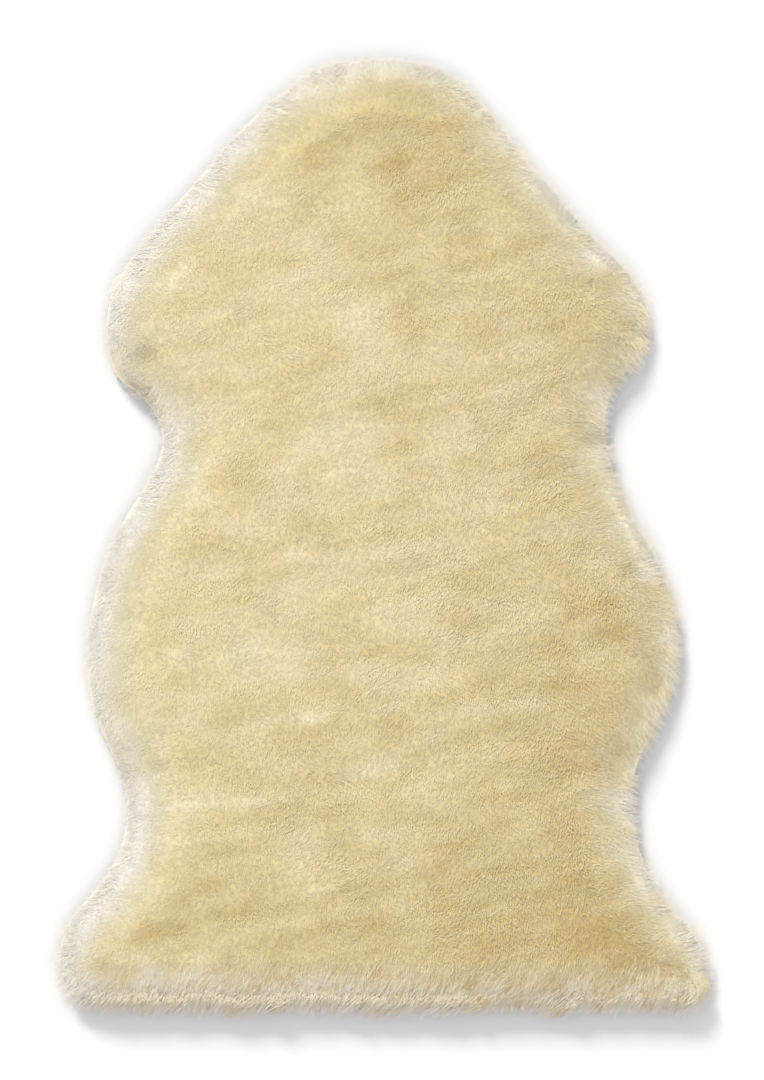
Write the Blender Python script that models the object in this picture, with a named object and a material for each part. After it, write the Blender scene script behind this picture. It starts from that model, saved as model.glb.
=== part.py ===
"""A shorn natural sheepskin rug, lying flat with its wool side up.

The rug is one tanned skin with its own wool still on it, so it is one closed solid: a lumpy slab that is flat
underneath, full and rounded at its rim, with a crown of pointed locks fanning out all the way round.

Metres, +Z up. The neck points to +Y. The origin is on the floor, under the middle of the rug's box.
"""

import math
import random
from collections import namedtuple

import bmesh
import bpy
import numpy as np
from mathutils import Vector, noise
from mathutils.geometry import delaunay_2d_cdt

MM = 0.001

# ---- driving dimensions, in millimetres ----

# The outline that the tips of the rim's locks reach, a row for each place down the animal's body.
Place = namedtuple("Place", "name left_x left_y right_x right_y")
NECK_TOP = (1, 450)
PLACES = (
    Place("nape", -41, 446, 44, 446),
    Place("neck corner", -79, 429, 82, 426),
    Place("neck side", -126, 392, 115, 389),
    Place("neck slope", -177, 333, 163, 326),
    Place("shoulder", -228, 276, 215, 271),
    Place("foreleg top", -257, 233, 247, 238),
    Place("foreleg tip", -264, 198, 258, 205),
    Place("foreleg hem", -261, 167, 254, 170),
    Place("armpit slope", -231, 133, 227, 148),
    Place("armpit", -200, 98, 212, 128),
    Place("chest", -213, 64, 215, 81),
    Place("rib top", -245, 17, 242, 19),
    Place("rib", -267, -31, 271, -37),
    Place("belly", -279, -89, 284, -84),
    Place("low belly", -281, -134, 285, -122),
    Place("belly hem", -272, -179, 268, -174),
    Place("flank slope", -251, -215, 246, -209),
    Place("flank", -239, -251, 236, -243),
    Place("thigh", -246, -289, 245, -287),
    Place("low thigh", -267, -329, 262, -331),
    Place("hind leg top", -297, -360, 294, -366),
    Place("hind leg tip", -311, -389, 309, -395),
    Place("hind leg hem", -306, -422, 311, -424),
    Place("hind corner", -297, -443, 303, -447),
    Place("hem quarter", -220, -446, 204, -451),
)
HEM_MIDDLE = (-3, -449)

# The rim's section, from the floor up and over: how far in from the outline, and how high.
Section = namedtuple("Section", "name inset height")
SECTIONS = (
    Section("edge of the skin", 28, 0.0),
    Section("under the rim", 20, 1.2),
    Section("low rim", 15, 5.0),
    Section("widest", 13, 10.5),
    Section("upper rim", 15, 16.5),
    Section("shoulder", 21, 22.0),
    Section("brow", 30, 26.0),
)
CROWN_HEIGHT = 29.5  # of the shorn wool in the middle of the rug
CROWN_REACH = 20.0  # how fast the wool rises from the brow to the crown

CURVE_STEPS = 12  # points of the outline's curve between two places
RIM_STEPS = 280  # faces round the rim, about 11 mm each
GRAIN = 15.5  # between the points of the wool's top
MESH_MARGIN = 0.6  # of that spacing is left free inside the brow
RIM_SMOOTHING = 0.16  # keeps an inset outline from folding at the leg tips
RIM_SPACING = 0.8  # and its points from crowding there
RIM_UNEVEN = 0.28  # of a step, how far a point may be from its even place
RIM_CLUMP = 30  # the wool's rim bulges in clumps about this wide
RIM_BULGE = 3.4  # how far in and out
INSET_STEP = 0.75
SPACING_SEED = 5
LOCK_SEED = 17

# Low relief of the wool: how high it may be, and how long its lumps are along X and along Y.
Relief = namedtuple("Relief", "name height across along seed")
RELIEFS = (
    Relief("broad lumps", 2.8, 120, 95, 3),
    Relief("transverse ripples", 2.6, 95, 30, 11),
    Relief("tufts", 1.6, 34, 26, 29),
)
RELIEF_FADE = (4, 34)  # from nothing to full, by distance from the outline

# Locks at the rim. Each grows from one face of the strip above a section, every so many faces,
# and its tip ends so far past the outline and so much above its root.
Locks = namedtuple("Locks", "section every first past rise")
LOCKS = (
    Locks("low rim", 2, 0, -0.5, -5.5),
    Locks("widest", 2, 1, 0.5, -2.5),
)
REACH_SPREAD = (-4.5, 1.8)  # how unevenly the tips reach the outline
LEAN_SPREAD = 8.0  # how far a tip leans to one side
SHORTEST_LOCK = 6.0
WAIST = (0.5, 0.8)  # how far along a lock, and how wide there against its root
ARCH = 1.2  # how far its waist stands above its straight line
TAPER = 0.3  # of the waist, as wide as the last stretch is before its point
LOWEST_TIP = 0.8

WOOL_COLOUR = (0.73, 0.62, 0.35, 1.0)
WOOL_ROUGHNESS = 0.95


# ---- outline ----


def smooth_loop(points, per_span):
    """A closed centripetal curve through the points."""
    points = [np.array(p, float) for p in points]
    n, out = len(points), []
    for i in range(n):
        p0, p1, p2, p3 = (points[(i + k) % n] for k in (-1, 0, 1, 2))
        t0 = 0.0
        t1 = t0 + math.sqrt(np.linalg.norm(p1 - p0))
        t2 = t1 + math.sqrt(np.linalg.norm(p2 - p1))
        t3 = t2 + math.sqrt(np.linalg.norm(p3 - p2))
        for t in np.linspace(t1, t2, per_span, endpoint=False):
            a1 = p0 * (t1 - t) / (t1 - t0) + p1 * (t - t0) / (t1 - t0)
            a2 = p1 * (t2 - t) / (t2 - t1) + p2 * (t - t1) / (t2 - t1)
            a3 = p2 * (t3 - t) / (t3 - t2) + p3 * (t - t2) / (t3 - t2)
            b1 = a1 * (t2 - t) / (t2 - t0) + a2 * (t - t0) / (t2 - t0)
            b2 = a2 * (t3 - t) / (t3 - t1) + a3 * (t - t1) / (t3 - t1)
            out.append(b1 * (t2 - t) / (t2 - t1) + b2 * (t - t1) / (t2 - t1))
    return np.array(out)


def spaced_loop(loop, count):
    """The same closed line with a set number of points, spaced a little unevenly, as locks of wool are."""
    closed = np.vstack([loop, loop[:1]])
    along = np.concatenate([[0], np.cumsum(np.linalg.norm(np.diff(closed, axis=0), axis=1))])
    draw = random.Random(SPACING_SEED)
    uneven = [draw.uniform(0, 2 * RIM_UNEVEN) for _ in range(count)]
    at = (np.arange(count) + uneven) * along[-1] / count
    return np.stack([np.interp(at, along, closed[:, k]) for k in (0, 1)], axis=1)


def rug_outline():
    """Counterclockwise seen from above: down the left side, along the hem and up the right side."""
    left = [(p.left_x, p.left_y) for p in PLACES]
    right = [(p.right_x, p.right_y) for p in reversed(PLACES)]
    return spaced_loop(smooth_loop([NECK_TOP, *left, HEM_MIDDLE, *right], CURVE_STEPS), RIM_STEPS)


def outward(loop):
    """The outward direction at each point of a counterclockwise loop."""
    along = np.roll(loop, -1, axis=0) - np.roll(loop, 1, axis=0)
    out = np.stack([along[:, 1], -along[:, 0]], axis=1)
    return out / np.linalg.norm(out, axis=1, keepdims=True)


def inset_loop(loop, distance):
    """The loop moved inwards in small steps, each lightly smoothed so that tight corners don't fold."""
    steps = max(1, round(distance / INSET_STEP))
    for _ in range(steps):
        out = outward(loop)
        loop = loop - out * (distance / steps)
        pull = (np.roll(loop, -1, axis=0) + np.roll(loop, 1, axis=0)) / 2 - loop
        across = out * (pull * out).sum(1, keepdims=True)
        loop = loop + across * RIM_SMOOTHING + (pull - across) * RIM_SPACING
    return loop


def distance_to(points, loop):
    """How far each point is from a closed line."""
    a, b = loop, np.roll(loop, -1, axis=0)
    run = b - a
    off = points[:, None, :] - a[None]
    share = np.clip((off * run).sum(2) / (run * run).sum(1), 0, 1)
    return np.linalg.norm(off - share[..., None] * run, axis=2).min(1)


def inside(points, loop):
    """Whether each point lies inside a closed line."""
    (ax, ay), (bx, by) = loop.T, np.roll(loop, -1, axis=0).T
    x, y = points[:, 0, None], points[:, 1, None]
    crosses = (ay > y) != (by > y)
    rise = np.where(by == ay, 1.0, by - ay)
    return (crosses & (x < ax + (y - ay) * (bx - ax) / rise)).sum(1) % 2 == 1


# ---- wool's top ----


def relief(x, y):
    """The low lumps and ripples of shorn wool, before they fade out at the rim."""
    total = 0.0
    for r in RELIEFS:
        total += r.height * noise.noise(Vector((x / r.across + r.seed, y / r.along - r.seed, r.seed)))
    return total


def fade(distance):
    """How much of the relief there is at a distance from the outline, from 0 to 1."""
    share = min(1.0, max(0.0, (distance - RELIEF_FADE[0]) / (RELIEF_FADE[1] - RELIEF_FADE[0])))
    return share * share * (3 - 2 * share)


def crown(distance):
    """The height of the wool by its distance from the outline, past the brow."""
    brow = SECTIONS[-1]
    past = max(0.0, distance - brow.inset)
    return CROWN_HEIGHT - (CROWN_HEIGHT - brow.height) * math.exp(-past / CROWN_REACH)


def grain_points(brow):
    """Staggered rows of points over the wool's top, clear of the brow."""
    (low_x, low_y), (high_x, high_y) = brow.min(0), brow.max(0)
    row_gap = GRAIN * math.sqrt(0.75)
    points = []
    for row, y in enumerate(np.arange(low_y, high_y, row_gap)):
        for x in np.arange(low_x + (row % 2) * GRAIN / 2, high_x, GRAIN):
            points.append((x, y))
    points = np.array(points)
    clear = inside(points, brow) & (distance_to(points, brow) > GRAIN * MESH_MARGIN)
    return points[clear]


def fill_loop(bm, ring, points, heights, upward):
    """Triangles that close a ring of the mesh's vertices, through more points inside it."""
    flat = [Vector(v.co[:2]) for v in ring] + [Vector(p) for p in points]
    border = [(i, (i + 1) % len(ring)) for i in range(len(ring))]
    _, _, faces, sources, _, _ = delaunay_2d_cdt(flat, border, [list(range(len(ring)))], 1, 1e-4)
    verts = ring + [bm.verts.new((x, y, z)) for (x, y), z in zip(points, heights)]
    for face in faces:
        corners = [verts[sources[i][0]] for i in face]
        bm.faces.new(corners if upward else corners[::-1])


# ---- body and locks ----


def bulge(x, y):
    """How far the rim stands out where a clump of wool is full, or in between two clumps."""
    return RIM_BULGE * noise.noise(Vector((x, y, 0)) / RIM_CLUMP)


def rim_rings(bm, outline):
    """A ring of vertices for each of the rim's sections."""
    rings = []
    for section in SECTIONS:
        loop = inset_loop(outline, section.inset)
        if section.height > 0:
            loop = loop + outward(loop) * [[bulge(x, y)] for x, y in outline]
        lift = fade(section.inset) * section.height / CROWN_HEIGHT
        rings.append([bm.verts.new((x, y, section.height + lift * relief(x, y))) for x, y in loop])
    return rings


def rim_strips(bm, rings):
    """The faces between each ring and the next, by the name of the lower section."""
    strips = {}
    for section, low, high in zip(SECTIONS, rings, rings[1:]):
        count = len(low)
        strips[section.name] = [
            bm.faces.new((low[i], low[(i + 1) % count], high[(i + 1) % count], high[i])) for i in range(count)
        ]
    return strips


def pull_out(bm, face, move, width):
    """Extrudes one face by a move, narrowing it about its middle, and returns the face at the end."""
    (end,) = bmesh.ops.extrude_discrete_faces(bm, faces=[face])["faces"]
    middle = end.calc_center_median()
    for v in end.verts:
        v.co = middle + (v.co - middle) * width + move
    return end


def grow_lock(bm, face, direction, length, rise):
    """One pointed lock of four sides, its root fused to the rim."""
    root = face.calc_center_median()
    tip_height = max(LOWEST_TIP, root.z + rise)
    whole = direction * length + Vector((0, 0, tip_height - root.z))
    at, width = WAIST
    waist = pull_out(bm, face, whole * at + Vector((0, 0, ARCH)), width)
    tip = pull_out(bm, waist, root + whole - waist.calc_center_median(), TAPER)
    bmesh.ops.pointmerge(bm, verts=list(tip.verts), merge_co=root + whole)


def rim_locks(bm, strips, outline):
    """Locks round the rim, in strips that take turns, their tips at the rug's outline."""
    draw = random.Random(LOCK_SEED)
    normals, made = outward(outline), 0
    for kind in LOCKS:
        for i in range(kind.first, RIM_STEPS, kind.every):
            face = strips[kind.section][i]
            out = normals[i] + normals[(i + 1) % RIM_STEPS]
            out = Vector((*(out / np.linalg.norm(out)), 0))
            side = Vector((-out.y, out.x, 0))
            root = face.calc_center_median()
            to_outline = distance_to(np.array([root[:2]]), outline)[0]
            length = max(SHORTEST_LOCK, to_outline + kind.past + draw.uniform(*REACH_SPREAD))
            lean = LEAN_SPREAD * (noise.noise(root / RIM_CLUMP) + draw.uniform(-0.5, 0.5))
            grow_lock(bm, face, out + side * (lean / length), length, kind.rise)
            made += 1
    return made


def wool_material():
    """Natural undyed cream wool, quite matte."""
    material = bpy.data.materials.new("wool")
    material.use_nodes = True
    shader = material.node_tree.nodes["Principled BSDF"]
    shader.inputs["Base Color"].default_value = WOOL_COLOUR
    shader.inputs["Roughness"].default_value = WOOL_ROUGHNESS
    shader.inputs["Metallic"].default_value = 0.0
    return material


def make_pelt():
    """The whole rug, in millimetres until it is centred over the origin and scaled to metres."""
    outline = rug_outline()
    bm = bmesh.new()
    rings = rim_rings(bm, outline)
    strips = rim_strips(bm, rings)

    brow = np.array([v.co[:2] for v in rings[-1]])
    points = grain_points(brow)
    depths = distance_to(points, outline)
    heights = [crown(d) + fade(d) * relief(x, y) for (x, y), d in zip(points, depths)]
    fill_loop(bm, rings[-1], points, heights, upward=True)
    fill_loop(bm, rings[0], [], [], upward=False)

    locks = rim_locks(bm, strips, outline)
    bmesh.ops.triangulate(bm, faces=bm.faces[:])
    bmesh.ops.recalc_face_normals(bm, faces=bm.faces[:])

    corners = np.array([v.co for v in bm.verts])
    middle = (corners.min(0) + corners.max(0)) / 2
    bmesh.ops.translate(bm, verts=bm.verts, vec=(-middle[0], -middle[1], 0))
    bmesh.ops.scale(bm, verts=bm.verts, vec=(MM, MM, MM))

    mesh = bpy.data.meshes.new("pelt")
    bm.to_mesh(mesh)
    bm.free()
    mesh.materials.append(wool_material())
    mesh.shade_smooth()
    pelt = bpy.data.objects.new("pelt", mesh)
    bpy.context.scene.collection.objects.link(pelt)
    print(f"pelt: {len(mesh.polygons)} triangles, {locks} locks, {[round(v, 4) for v in pelt.dimensions]} m")


for startup in list(bpy.data.objects):
    bpy.data.objects.remove(startup, do_unlink=True)
make_pelt()
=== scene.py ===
# %% [markdown]
# # A shorn sheepskin rug
# A sheepskin rug is one tanned skin with its own wool still on it. The wool is washed, combed and clipped
# to an even length, so the top is a dense, soft plain of clipped tips, and round the edge the wool falls
# outwards in long loose locks. We dress a plain CAD solid, the frame, with a real hide, a mass of wool and
# more than two hundred thousand small locks and fibres. Everything is in metres, with the neck towards +Y.

# %% Load the frame
import math

import bmesh
import bpy
import numpy as np
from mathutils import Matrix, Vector, noise
from mathutils.bvhtree import BVHTree


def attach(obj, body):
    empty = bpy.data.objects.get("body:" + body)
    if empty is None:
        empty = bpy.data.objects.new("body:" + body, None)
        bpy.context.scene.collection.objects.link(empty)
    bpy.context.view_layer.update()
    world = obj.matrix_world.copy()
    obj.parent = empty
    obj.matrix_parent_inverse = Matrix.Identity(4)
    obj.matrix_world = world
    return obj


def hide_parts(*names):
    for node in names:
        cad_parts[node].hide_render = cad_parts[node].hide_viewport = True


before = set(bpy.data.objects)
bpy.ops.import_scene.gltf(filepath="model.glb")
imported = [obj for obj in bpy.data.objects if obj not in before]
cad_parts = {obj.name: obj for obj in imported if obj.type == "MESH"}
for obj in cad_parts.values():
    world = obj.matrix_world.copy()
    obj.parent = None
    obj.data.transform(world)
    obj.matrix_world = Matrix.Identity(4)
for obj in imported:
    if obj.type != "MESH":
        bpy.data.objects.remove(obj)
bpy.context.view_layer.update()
MM = 0.001

# %% [markdown]
# ## Camera
# The rug lies on the floor and is seen from straight above, so a long lens high over it keeps its outline
# free of perspective. The picture is 764 by 1080 pixels, and one pixel shows 0.9424 mm of the rug, which
# gives the width of the view. The lens follows from that width and the height of the camera.

# %% Camera
PICTURE_HIGH = 1080
PIXEL = 0.9424 * MM
VIEW_CENTRE = (-1.4 * MM, -4.2 * MM)  # where the middle of the picture falls
CAMERA_HEIGHT = 4.0
OUTLINE_LEVEL = 8 * MM  # the height at which the rug's outline is seen

camera = bpy.data.objects.new("camera", bpy.data.cameras.new("camera"))
bpy.context.scene.collection.objects.link(camera)
bpy.context.scene.camera = camera
camera.location = (*VIEW_CENTRE, CAMERA_HEIGHT)
view_high = PICTURE_HIGH * PIXEL
camera.data.lens = camera.data.sensor_width * (CAMERA_HEIGHT - OUTLINE_LEVEL) / view_high
print(f"lens {camera.data.lens:.0f} mm, view {view_high:.3f} m high")

# %% [markdown]
# ## Colours and nodes
# Colours are picked as sRGB hex codes, as on a paint chart, but shaders work in linear light. One function
# turns them. Another adds a node to a material, sets its own settings and joins or fills its inputs.


# %% Helpers for materials
def linear(code):
    """The linear RGBA of an sRGB hex code."""
    parts = [int(code[i : i + 2], 16) / 255 for i in (1, 3, 5)]
    return (*(v / 12.92 if v <= 0.04045 else ((v + 0.055) / 1.055) ** 2.4 for v in parts), 1.0)


def add_node(tree, kind, settings=None, inputs=None, stops=None):
    """Adds a node of a kind with its settings, its inputs (values or other nodes' outputs) and its stops."""
    new = tree.nodes.new(kind)
    for name, value in (settings or {}).items():
        setattr(new, name, value)
    for name, value in (inputs or {}).items():
        if isinstance(value, bpy.types.NodeSocket):
            tree.links.new(value, new.inputs[name])
        else:
            new.inputs[name].default_value = value
    if stops:
        row = new.color_ramp.elements
        for place, code in stops[1:-1]:
            row.new(place).color = linear(code)
        row[0].position, row[0].color = stops[0][0], linear(stops[0][1])
        row[-1].position, row[-1].color = stops[-1][0], linear(stops[-1][1])
    return new


def new_material(name):
    """A material with its node tree and its Principled shader."""
    material = bpy.data.materials.new(name)
    material.use_nodes = True
    return material, material.node_tree, material.node_tree.nodes["Principled BSDF"]


# %% [markdown]
# ## What the frame tells us
# The frame's solid is flat under the skin and rounded over it. We copy its mesh and merge the copy, because
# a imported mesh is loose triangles. The rim of its flat underside is the edge of the skin, the line from
# which all the wool is placed. The height of the wool over any point is read by looking down on the copy.

# %% The skin's edge, from the frame
MERGE_WITHIN = 0.01 * MM  # points nearer than this are one point
FLAT_WITHIN = 0.02 * MM  # a face no higher than this lies on the floor

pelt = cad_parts["pelt"]
solid = bmesh.new()
solid.from_mesh(pelt.data)
bmesh.ops.remove_doubles(solid, verts=solid.verts, dist=MERGE_WITHIN)
top_finder = BVHTree.FromBMesh(solid)


def underside(bm):
    """Keeps only the faces that lie on the floor."""
    raised = [f for f in bm.faces if max(v.co.z for v in f.verts) > FLAT_WITHIN]
    bmesh.ops.delete(bm, geom=raised, context="FACES")
    return bm


def walk_round(bm):
    """The points of a flat sheet's edge, in order."""
    start = next(v for v in bm.verts if v.is_boundary)
    loop, last = [start], None
    while True:
        ahead = [e.other_vert(loop[-1]) for e in loop[-1].link_edges if e.is_boundary]
        step = next(v for v in ahead if v is not last)
        if step is start:
            return np.array([v.co.xy for v in loop])
        last = loop[-1]
        loop.append(step)


def counter_clockwise(ring):
    """The same ring, turning to the left."""
    x, y = ring.T
    area = (x * np.roll(y, -1) - np.roll(x, -1) * y).sum() / 2
    return ring if area > 0 else ring[::-1]


edge = counter_clockwise(walk_round(underside(solid)))
edge_steps = np.linalg.norm(np.roll(edge, -1, 0) - edge, axis=1)
print(f"skin's edge: {len(edge)} points, {edge_steps.sum():.3f} m round")

# %% [markdown]
# ## Where a point is on the rug
# Wool behaves by its distance from the skin's edge: upright in the middle, leaning at the rim, hanging
# outside it. So we need that distance for many thousands of points, and the way out from each. Numpy
# measures all points against all pieces of the edge at once. The way out is a soft average of the edge's
# own directions, so that locks fan out smoothly round a leg and don't jump at a corner.
#
# Wool isn't combed out evenly all round. A short list says where the rim is a little wider or narrower, and
# outside the skin the distance is stretched to suit: where the rim is wide, a point counts as nearer.

# %% Distance and way out
edge_next = np.roll(edge, -1, 0)
edge_run = edge_next - edge
edge_out = np.stack([edge_run[:, 1], -edge_run[:, 0]], 1) / edge_steps[:, None]
edge_travel = np.concatenate([[0], np.cumsum(edge_steps)])
TURN_OVER = 7 * MM  # how far the way out takes to turn a corner
CHUNK = 8000  # so many points are measured at a time, to spare memory
RIM_WIDE = 28 * MM  # how far the wool stands outside the skin's edge
RIM_VARIES = [  # middle x, middle y, reach, how much wider the rim is there, all in mm
    (-318, -452, 30, 11),
    (-240, -450, 60, 5),
    (-130, -450, 80, 5),
    (20, -452, 80, 3),
    (312, -448, 26, 8),
    (-252, 150, 26, 6),
    (250, 160, 24, 3),
    (-60, 440, 35, 3),
    (-245, -310, 50, -3),
    (255, -320, 40, -4),
    (117, 377, 45, -4),
    (193, 286, 45, -3),
    (231, 31, 50, -3),
]


def rim_varies(points):
    """How much wider the rim's wool is near each point."""
    wider = np.zeros(len(points))
    for x, y, reach, more in RIM_VARIES:
        off = np.linalg.norm(points[:, :2] - np.array([x, y]) * MM, axis=1)
        wider += more * MM * np.exp(-((off / (reach * MM)) ** 2))
    return wider


def place_on_rug(points):
    """For each point, its distance inside the skin's edge (less than 0 outside it), the way out and how
    far round the edge it is."""
    inside_by, way_out, round_by = np.empty(len(points)), np.empty((len(points), 2)), np.empty(len(points))
    for first in range(0, len(points), CHUNK):
        at = points[first : first + CHUNK, None, :2]
        share = ((at - edge) * edge_run).sum(2) / edge_steps**2
        near = edge + edge_run * np.clip(share, 0, 1)[..., None]
        gaps = np.linalg.norm(at - near, axis=2)
        nearest, piece = gaps.min(1), gaps.argmin(1)
        partly = np.clip(np.take_along_axis(share, piece[:, None], 1)[:, 0], 0, 1)
        round_by[first : first + CHUNK] = edge_travel[piece] + partly * edge_steps[piece]
        x, y = at[..., 0], at[..., 1]
        spans = (edge[:, 1] > y) != (edge_next[:, 1] > y)
        with np.errstate(divide="ignore", invalid="ignore"):
            crossing = edge[:, 0] + (y - edge[:, 1]) / edge_run[:, 1] * edge_run[:, 0]
        odd = (spans & (x < crossing)).sum(1) % 2 == 1
        inside_by[first : first + CHUNK] = np.where(odd, nearest, -nearest)
        weight = np.exp(-(gaps - nearest[:, None]) / TURN_OVER) * edge_steps
        mixed = weight @ edge_out
        way_out[first : first + CHUNK] = mixed / np.linalg.norm(mixed, axis=1)[:, None]
    inside_by = inside_by + rim_varies(points) * np.clip(-inside_by / RIM_WIDE, 0, 1)
    return inside_by, way_out, round_by


# %% [markdown]
# ## How high the wool stands
# Over the skin the frame gives the height. Outside the skin's edge the wool rounds over and falls, and a
# short table gives the height by the distance outside, as a maker would note it from a section.
#
# Wool isn't shaded like a solid of the same shape, because light also comes through it. So every lock is
# shaded by the direction of the fleece's surface, with a large share of its slope left out, most of all at
# the rim. Where the low light meets the rim from outside, and on the edges that face the tail, a little less
# is left out.

# %% Height of the finished wool
RIM_FALL = [  # distance outside the skin's edge, mm; height of the wool there, mm
    (-30, 28.3),
    (-18, 27.6),
    (-9, 26.7),
    (0, 25.7),
    (6, 24.0),
    (11, 21.5),
    (15, 18.5),
    (19, 15.0),
    (23, 11.5),
    (27, 8.5),
    (31, 6.0),
]
fall_at, fall_to = (np.array(column) * MM for column in zip(*RIM_FALL))
LOOK_FROM = 200 * MM  # the height from which we look down on the frame
BLEND = 6 * MM  # this far each side of the skin's edge, the frame's height gives way to the table's
SLOPE_STEP = 5 * MM  # half the distance over which the wool's slope is read
LEFT_OUT, LEFT_OUT_AT_RIM = 0.50, 0.42  # the share of the slope that is left out, and what the rim adds to it
RIM_SOFT = 26 * MM  # the rim adds it from this far inside the skin's edge
LIT_WAY = np.array([-0.75, 0.66])  # the side where the low light meets the rim from outside
LIT_LESS, LIT_FROM, LIT_OVER = 0.17, 5 * MM, 14 * MM  # how much less is left out there, and from where
TAIL_LESS, TAIL_FROM, TAIL_OVER = 0.08, 2 * MM, 11 * MM  # and on the edges that face the tail


def unit(vectors):
    """The same vectors, each of length 1."""
    return vectors / np.maximum(np.linalg.norm(vectors, axis=-1, keepdims=True), 1e-12)


def wool_height(points, inside_by):
    """The height of the finished top of the wool over each point."""
    falling = np.interp(-inside_by, fall_at, fall_to)
    seen = falling.copy()
    for i in np.flatnonzero(inside_by > -BLEND):
        hit = top_finder.ray_cast(Vector((points[i, 0], points[i, 1], LOOK_FROM)), Vector((0, 0, -1)))[0]
        if hit is not None:
            seen[i] = hit.z
    share = np.clip((inside_by + BLEND) / (2 * BLEND), 0, 1)
    return falling + (seen - falling) * share


def facing_of_wool(points, inside_by, way_out):
    """The way in which the wool's surface is shaded at each point, with a share of its slope left out."""
    up = LEFT_OUT + LEFT_OUT_AT_RIM * np.clip(1 - inside_by / RIM_SOFT, 0, 1)
    lit = np.clip(way_out @ LIT_WAY, 0, 1) * np.clip((-inside_by - LIT_FROM) / LIT_OVER, 0, 1)
    tail = np.clip(-way_out[:, 1], 0, 1) * np.clip((TAIL_FROM - inside_by) / TAIL_OVER, 0, 1)
    up = (up - LIT_LESS * lit - TAIL_LESS * tail)[:, None]
    slope = np.zeros((len(points), 2))
    for axis, step in enumerate(np.eye(2) * SLOPE_STEP):
        by = way_out @ step
        ahead = wool_height(points[:, :2] + step, inside_by - by)
        behind = wool_height(points[:, :2] - step, inside_by + by)
        slope[:, axis] = (ahead - behind) / (2 * SLOPE_STEP)
    return unit(np.column_stack([-slope * (1 - up), np.ones(len(points))]))


def drift(points, size, seed, depth=2):
    """Soft random values from about -1 to 1 that change over a distance of size. Each seed looks at the
    noise in another place."""
    offset = Vector((seed * 17.3, seed * 5.1, seed * 2.7))
    values = [
        noise.fractal(Vector((x / size, y / size, 0)) + offset, 1.0, 2.0, depth) for x, y in points[:, :2]
    ]
    return np.clip(np.array(values) * 1.6, -1, 1)


OPEN_MIDDLE, OPEN_RIGHT, OPEN_NECK = 0.45, 1.6, -0.5  # how open the pile is, and its change for each metre


def openness(points, inside_by):
    """How far the wool stands open, and so shows its depth: little at the left and the neck, most at the
    right flank, and less again towards the rim."""
    x, y = points[:, 0], points[:, 1]
    share = OPEN_MIDDLE + OPEN_RIGHT * x + OPEN_NECK * y + 0.2 * drift(points, 50 * MM, 27)
    return np.clip(share, 0.15, 1) * np.clip(0.4 + inside_by / (30 * MM), 0.2, 1)


# %% [markdown]
# ## Tone of the wool
# Natural wool is cream, but never one cream: it has golden and cooler patches, paler tips, and nearly white
# wool at the rim, where less dirt and grease reach. Painted light widens that white at the left, and painted
# shade keeps it less white at the hem, the right flank and under the legs. Painted shade also deepens the
# tone towards the right and the tail, soft bands across the rug are painted light and shade, and where the
# pile parts a pale streak is painted as a highlight. Each lock gets two numbers: its tone, from deep gold at 0
# to white at 1, and its warmth, from cool at 0 to peach at 1. They become the lock's place on a small colour
# chart. In a few shallow hollows, where the skin was folded or held, the wool is pressed down, and painted
# shade deepens its tone there.

# %% Partings and hollows of the pile
PARTING_END = 3 * MM  # a parting fades out over this at each end
# Each parting's paleness is a painted highlight along it.
PARTINGS = [  # middle x, middle y, length in mm, angle in degrees, width in mm, how pale
    (-192, -112, 18, 8, 5.5, 0.18),
    (-87, -20, 16, 25, 5.5, 0.15),
    (-65, -173, 20, 6, 5.5, 0.24),
    (-55, -333, 24, 10, 5.5, 0.14),
    (-164, -253, 95, 4, 4.0, 0.10),
    (-3, -220, 30, 15, 5.5, 0.13),
    (-11, 133, 36, 6, 5.0, 0.10),
    (72, 114, 12, 20, 5.0, 0.11),
]
HOLLOWS = [  # middle x, middle y, reach, depth, all in mm
    (-225, 165, 13, 4.0),
    (237, 194, 12, 4.0),
    (195, 85, 14, 4.5),
    (234, -37, 12, 3.5),
    (218, -65, 12, 3.5),
    (251, -136, 13, 4.0),
]


def near_partings(points):
    """How near each point is to a parting (1 on its line), how pale its painted highlight is there, and the
    way off the line.
    """
    pale, way = np.zeros(len(points)), np.zeros((len(points), 2))
    for x, y, length, angle, width, how_pale in PARTINGS:
        run = np.array([math.cos(math.radians(angle)), math.sin(math.radians(angle))])
        side = np.array([-run[1], run[0]])
        off = points[:, :2] - np.array([x, y]) * MM
        along, across = off @ run, off @ side
        past = np.maximum(np.abs(along) - length / 2 * MM, 0)
        nearness = np.exp(-((past / PARTING_END) ** 2) - (across / (width * MM)) ** 2)
        pale = np.maximum(pale, nearness * how_pale)
        way += (np.sign(across) * nearness)[:, None] * side
    return pale, way


def hollow_depth(points):
    """How far each point is pressed down by the hollows."""
    depth = np.zeros(len(points))
    for x, y, reach, deep in HOLLOWS:
        off = np.linalg.norm(points[:, :2] - np.array([x, y]) * MM, axis=1)
        depth = np.maximum(depth, deep * MM * np.exp(-((off / (reach * MM)) ** 2)))
    return depth


# %% [markdown]
# ## The hide
# Under the wool is the skin itself: tanned sheep leather about 1.8 mm thick, with a suede face below. Its
# outline is the frame's flat underside, so we keep those faces, merge them into one sheet and extrude it.

# %% Hide
SKIN_THICK = 1.8 * MM


def finish_piece(bm, name, material):
    """Makes a bmesh a piece of the rug, in place of the frame's solid."""
    bmesh.ops.recalc_face_normals(bm, faces=bm.faces)
    mesh = bpy.data.meshes.new(name)
    bm.to_mesh(mesh)
    bm.free()
    mesh.shade_smooth()
    return place_piece(mesh, name, material)


def place_piece(mesh, name, material):
    """Gives a mesh its object and material, and says what it rides on, replaces and is made of."""
    mesh.materials.append(material)
    piece = bpy.data.objects.new(name, mesh)
    bpy.context.scene.collection.objects.link(piece)
    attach(piece, "root")
    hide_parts("pelt")
    triangles = sum(len(p.vertices) - 2 for p in mesh.polygons)
    print(f"{name}: {triangles} triangles")
    return piece


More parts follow.
